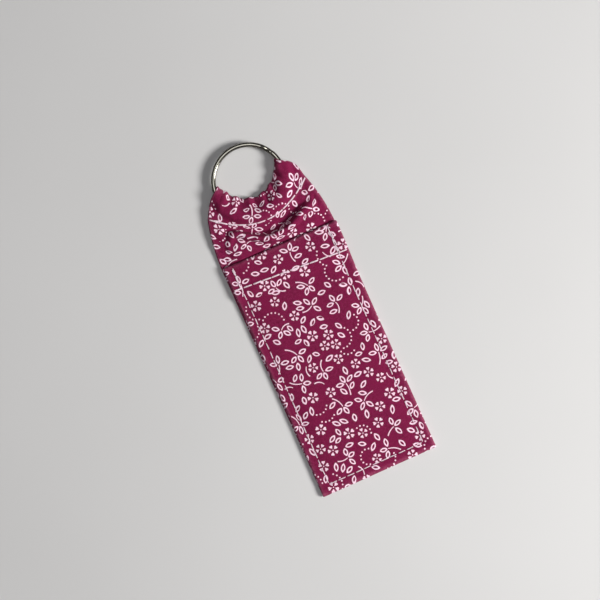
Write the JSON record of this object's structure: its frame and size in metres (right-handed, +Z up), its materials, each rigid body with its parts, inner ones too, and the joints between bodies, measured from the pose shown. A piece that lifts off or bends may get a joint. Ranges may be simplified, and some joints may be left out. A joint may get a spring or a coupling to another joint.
{
  "type": "pocket key fob",
  "caption": "Flat fabric pocket key fob: a folded, topstitched cotton pocket whose neck is gathered into a casing on a split ring.",
  "frame": {"origin": "centre of the whole object's footprint, on the surface that it lies on", "axes": "+X across the strip to the right seen from the front, +Y from the bottom fold to the ring, +Z up out of the pocket's front"},
  "size_m": [0.0406, 0.1174, 0.0043],
  "materials": {
    "print_cotton": "plain-weave cotton, berry ground with a small pale floral print",
    "lining_cotton": "plain-weave cotton, wrong side of the print",
    "interfacing": "matt non-woven interfacing",
    "sewing_thread": "spun polyester sewing thread, pale pink-white",
    "ring_steel": "nickel-plated spring steel, lightly worn"
  },
  "bodies": {
    "pocket": {"back_print_cloth": "print_cotton", "back_interfacing": "interfacing", "back_lining": "lining_cotton", "side_margin_left": "print_cotton", "side_margin_right": "print_cotton", "bottom_fold": "print_cotton", "side_stitch_left": "sewing_thread", "side_stitch_right": "sewing_thread", "bottom_stitch": "sewing_thread", "mouth_backtack_left": "sewing_thread", "mouth_backtack_right": "sewing_thread", "hem_stitch_ends": "sewing_thread", "neck_gather": "print_cotton"},
    "pocket_front": {"front_print_cloth": "print_cotton", "front_interfacing": "interfacing", "front_lining": "lining_cotton", "mouth_hem": "lining_cotton", "hem_stitch": "sewing_thread"},
    "loop": {"casing_front": "print_cotton", "casing_back": "print_cotton", "casing_fold": "print_cotton", "casing_seam": "print_cotton", "casing_stitch": "sewing_thread", "casing_backtack_left": "sewing_thread", "casing_backtack_right": "sewing_thread"},
    "ring": {"split_ring": "ring_steel"}
  },
  "joints": [
    {"name": "pocket_gape", "type": "hinge", "parent": "pocket", "child": "pocket_front", "pos_m": [0, -0.0558, 0.0016], "axis": [1, 0, 0], "range_deg": [0, 6]},
    {"name": "neck_bend", "type": "hinge", "parent": "pocket", "child": "loop", "pos_m": [0, 0.0262, 0.0004], "axis": [1, 0, 0], "range_deg": [-150, 80], "deforming": ["neck_gather"]},
    {"name": "ring_spin", "type": "hinge", "parent": "loop", "child": "ring", "pos_m": [0, 0.0462, 0.00202], "axis": [0, 0, 1], "continuous": true}
  ]
}
